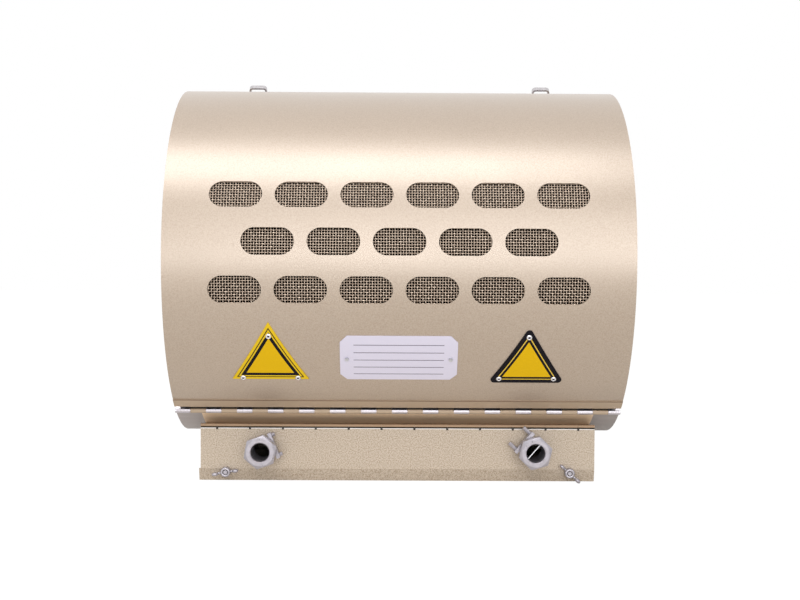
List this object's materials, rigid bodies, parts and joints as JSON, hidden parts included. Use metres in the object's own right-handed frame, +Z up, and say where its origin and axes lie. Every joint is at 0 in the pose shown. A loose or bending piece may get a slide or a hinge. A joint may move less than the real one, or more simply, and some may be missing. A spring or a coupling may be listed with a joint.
{
  "type": "band heater",
  "caption": "Hinged two-half band heater with a slotted, mesh-backed cover, ceramic bar lining, piano hinge, over-centre latches and a wiring box with conduit connectors.",
  "frame": {"origin": "centre of the barrel bore, half way along it", "axes": "+X along the barrel to the right as seen from the slotted side, -Y to the slotted front, +Z up"},
  "size_m": [0.36, 0.292, 0.34],
  "materials": {
    "champagne_paint": "satin champagne-gold metallic powder coat",
    "stainless_steel": "satin, bare",
    "steel_wire_mesh": "plain woven wire",
    "cordierite_ceramic": "unglazed fired ceramic",
    "resistance_wire": "oxidised nickel-chrome wire",
    "fibre_blanket": "white needled ceramic fibre",
    "plate_aluminium": "satin anodised",
    "sign_yellow": "gloss enamel with black borders",
    "zinc_alloy": "bright zinc plate",
    "brass_terminal": "plain",
    "block_porcelain": "glazed porcelain"
  },
  "bodies": {
    "rear_half": {"rear_cover": "stainless_steel", "rear_ceramic_bars": "cordierite_ceramic", "rear_heating_coil": "resistance_wire", "rear_blanket": "fibre_blanket", "rear_casing": "stainless_steel", "rear_end_plate_left": "stainless_steel", "rear_end_plate_right": "stainless_steel", "rear_spacers": "stainless_steel", "rear_hinge_leaf": "stainless_steel", "hinge_pin": "stainless_steel", "left_latch_base": "stainless_steel", "right_latch_base": "stainless_steel", "left_latch_pin": "stainless_steel", "right_latch_pin": "stainless_steel", "wiring_box": "champagne_paint", "lid_hinge_strip": "stainless_steel", "lid_hinge_pin": "stainless_steel", "lid_studs": "zinc_alloy", "terminal_bushings": "cordierite_ceramic", "terminal_studs": "brass_terminal", "terminal_nuts": "brass_terminal", "terminal_block": "block_porcelain", "block_screws": "brass_terminal"},
    "front_half": {"front_cover": "champagne_paint", "front_mesh": "steel_wire_mesh", "front_ceramic_bars": "cordierite_ceramic", "front_heating_coil": "resistance_wire", "front_blanket": "fibre_blanket", "front_casing": "stainless_steel", "front_end_plate_left": "stainless_steel", "front_end_plate_right": "stainless_steel", "front_spacers": "stainless_steel", "front_hinge_leaf": "champagne_paint", "nameplate": "plate_aluminium", "nameplate_pins": "plate_aluminium", "left_sign_plate": "sign_yellow", "right_sign_plate": "sign_yellow", "sign_rivets": "plate_aluminium", "left_latch_keeper": "stainless_steel", "right_latch_keeper": "stainless_steel"},
    "box_lid": {"lid": "champagne_paint", "left_connector_body": "zinc_alloy", "left_connector_saddle": "zinc_alloy", "left_clamp_screws": "zinc_alloy", "left_locknut": "zinc_alloy", "right_connector_body": "zinc_alloy", "right_connector_saddle": "zinc_alloy", "right_clamp_screws": "zinc_alloy", "right_locknut": "zinc_alloy"},
    "left_lever": {"left_latch_lever": "stainless_steel"},
    "left_bail": {"left_latch_bail": "stainless_steel"},
    "left_nut": {"left_wing_nut": "zinc_alloy"},
    "right_lever": {"right_latch_lever": "stainless_steel"},
    "right_bail": {"right_latch_bail": "stainless_steel"},
    "right_nut": {"right_wing_nut": "zinc_alloy"}
  },
  "joints": [
    {"name": "cover_hinge", "type": "hinge", "parent": "rear_half", "child": "front_half", "pos_m": [0, -0.08475, -0.12103], "axis": [1, 0, 0], "range_deg": [0, 80]},
    {"name": "lid_hinge", "type": "hinge", "parent": "rear_half", "child": "box_lid", "pos_m": [0, -0.08045, -0.1334], "axis": [1, 0, 0], "range_deg": [-60, 0]},
    {"name": "left_lever_pivot", "type": "hinge", "parent": "rear_half", "child": "left_lever", "pos_m": [-0.1293, 0.09904, 0.11596], "axis": [1, 0, 0], "range_deg": [-110, 0]},
    {"name": "left_bail_pivot", "type": "hinge", "parent": "left_lever", "child": "left_bail", "pos_m": [-0.1293, 0.09833, 0.12493], "axis": [1, 0, 0], "range_deg": [-60, 22]},
    {"name": "left_nut_turn", "type": "hinge", "parent": "box_lid", "child": "left_nut", "pos_m": [-0.1395, -0.0812, -0.1709], "axis": [0, -1, 0], "continuous": true},
    {"name": "right_lever_pivot", "type": "hinge", "parent": "rear_half", "child": "right_lever", "pos_m": [0.131, 0.09904, 0.11596], "axis": [1, 0, 0], "range_deg": [-110, 0]},
    {"name": "right_bail_pivot", "type": "hinge", "parent": "right_lever", "child": "right_bail", "pos_m": [0.131, 0.09833, 0.12493], "axis": [1, 0, 0], "range_deg": [-60, 22]},
    {"name": "right_nut_turn", "type": "hinge", "parent": "box_lid", "child": "right_nut", "pos_m": [0.1395, -0.0812, -0.1709], "axis": [0, -1, 0], "continuous": true}
  ]
}
